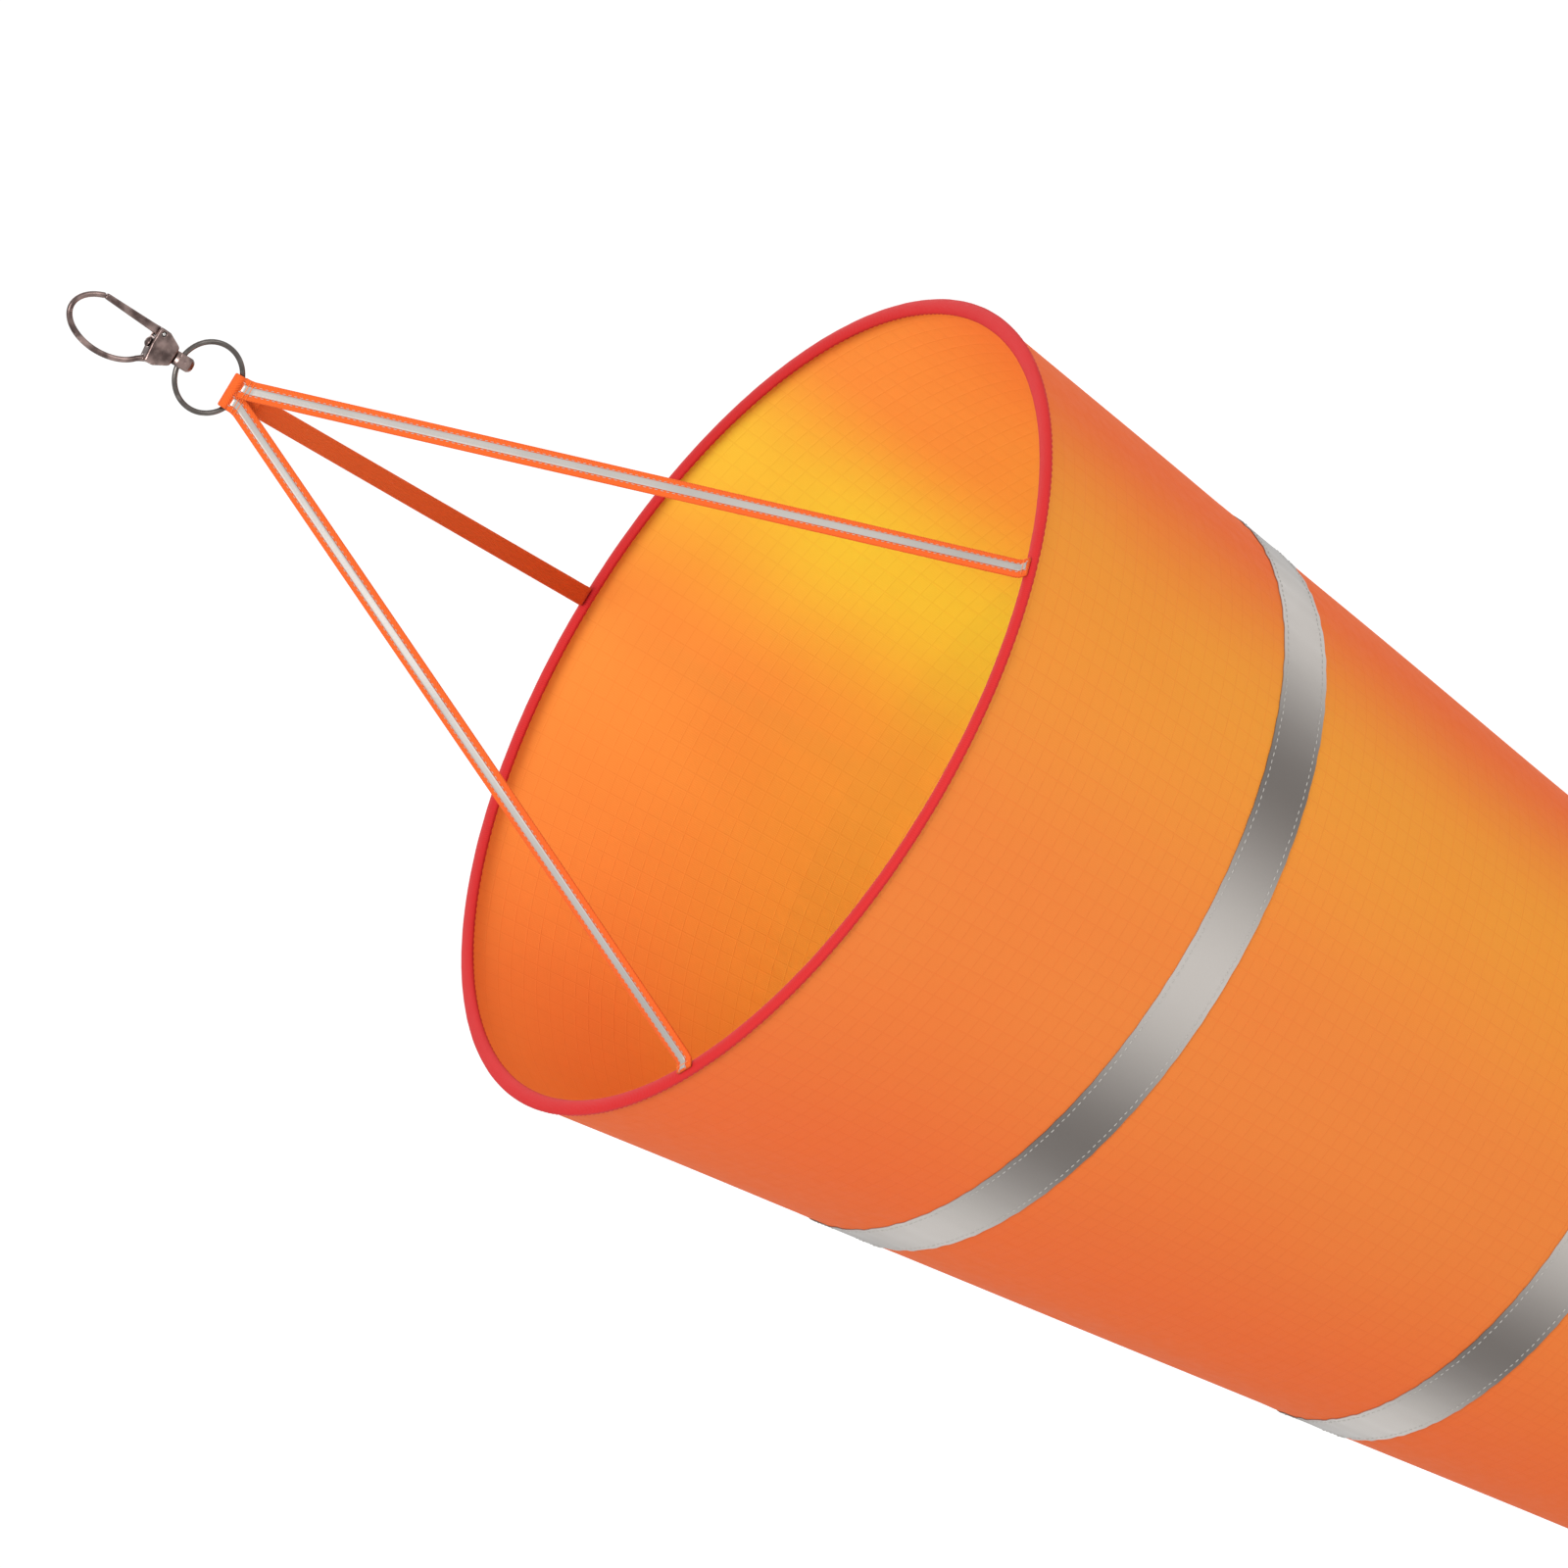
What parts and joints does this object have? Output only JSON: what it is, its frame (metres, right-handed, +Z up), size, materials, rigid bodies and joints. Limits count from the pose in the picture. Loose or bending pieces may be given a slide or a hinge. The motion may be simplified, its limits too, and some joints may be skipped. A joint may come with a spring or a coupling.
{
  "type": "windsock",
  "caption": "Tapered windsock with a hooped round mouth, reflective bands, a strap bridle, a ring and a swivel snap hook.",
  "frame": {"origin": "inside the top of the hook's bow, on the swivel's axis, where the hook hangs on its support", "axes": "+Z up along the swivel and the sock's axis, with the mouth above the tail; +X towards the gate side of the hook; -Y towards the face of the two front straps"},
  "size_m": [0.3, 0.3, 0.9427],
  "materials": {
    "hook_metal": "dark burnished cast metal with a warm brown tone",
    "ring_metal": "dark blackened steel wire",
    "steel": "plain spring steel",
    "webbing": "orange woven webbing",
    "reflective_tape": "silver grey reflective tape with a glass bead face",
    "red_binding": "red folded binding tape",
    "hoop_plastic": "springy white plastic strip",
    "sock_cloth": "bright orange ripstop cloth",
    "seam_tape": "orange seam tape"
  },
  "bodies": {
    "hook": {"hook_body": "hook_metal", "gate_pin": "steel", "gate_spring": "steel"},
    "gate": {"hook_gate": "hook_metal"},
    "swivel": {"swivel_stud": "hook_metal"},
    "ring": {"bridle_ring": "ring_metal"},
    "sock_front": {"bridle_tab": "webbing", "bridle_strap_a": "webbing", "bridle_strap_b": "webbing", "bridle_strap_c": "webbing", "strap_stripe_a": "reflective_tape", "strap_stripe_b": "reflective_tape", "strap_stripe_c": "reflective_tape", "mouth_binding": "red_binding", "mouth_hoop": "hoop_plastic", "sock_panel_front": "sock_cloth", "side_seam_front": "seam_tape", "reflective_band_1": "reflective_tape"},
    "sock_middle": {"sock_panel_middle": "sock_cloth", "side_seam_middle": "seam_tape", "reflective_band_2": "reflective_tape"},
    "sock_rear": {"sock_panel_rear": "sock_cloth", "side_seam_rear": "seam_tape", "reflective_band_3": "reflective_tape"},
    "sock_tail": {"sock_panel_tail": "sock_cloth", "side_seam_tail": "seam_tape", "tail_hem": "sock_cloth"}
  },
  "joints": [
    {"name": "gate_open", "type": "hinge", "parent": "hook", "child": "gate", "pos_m": [0.0045, 0, -0.031], "axis": [0, -1, 0], "range_deg": [0, 22], "stiffness_Nm_per_rad": 0.02, "springref_deg": -20.05, "deforming": ["gate_spring"]},
    {"name": "swivel_spin", "type": "hinge", "parent": "hook", "child": "swivel", "pos_m": [0, 0, -0.0414], "axis": [0, 0, 1], "continuous": true},
    {"name": "ring_swing", "type": "hinge", "parent": "swivel", "child": "ring", "pos_m": [0, 0, -0.04165], "axis": [1, 0, 0], "range_deg": [-90, 90]},
    {"name": "bridle_swing", "type": "hinge", "parent": "ring", "child": "sock_front", "pos_m": [0, 0, -0.05335], "axis": [0, 1, 0], "range_deg": [-90, 90]},
    {"name": "droop_1", "type": "hinge", "parent": "sock_front", "child": "sock_middle", "pos_m": [0, 0, -0.41315], "axis": [0, 1, 0], "range_deg": [-15, 15]},
    {"name": "droop_2", "type": "hinge", "parent": "sock_middle", "child": "sock_rear", "pos_m": [0, 0, -0.60015], "axis": [0, 1, 0], "range_deg": [-15, 15]},
    {"name": "droop_3", "type": "hinge", "parent": "sock_rear", "child": "sock_tail", "pos_m": [0, 0, -0.78715], "axis": [0, 1, 0], "range_deg": [-15, 15]}
  ]
}
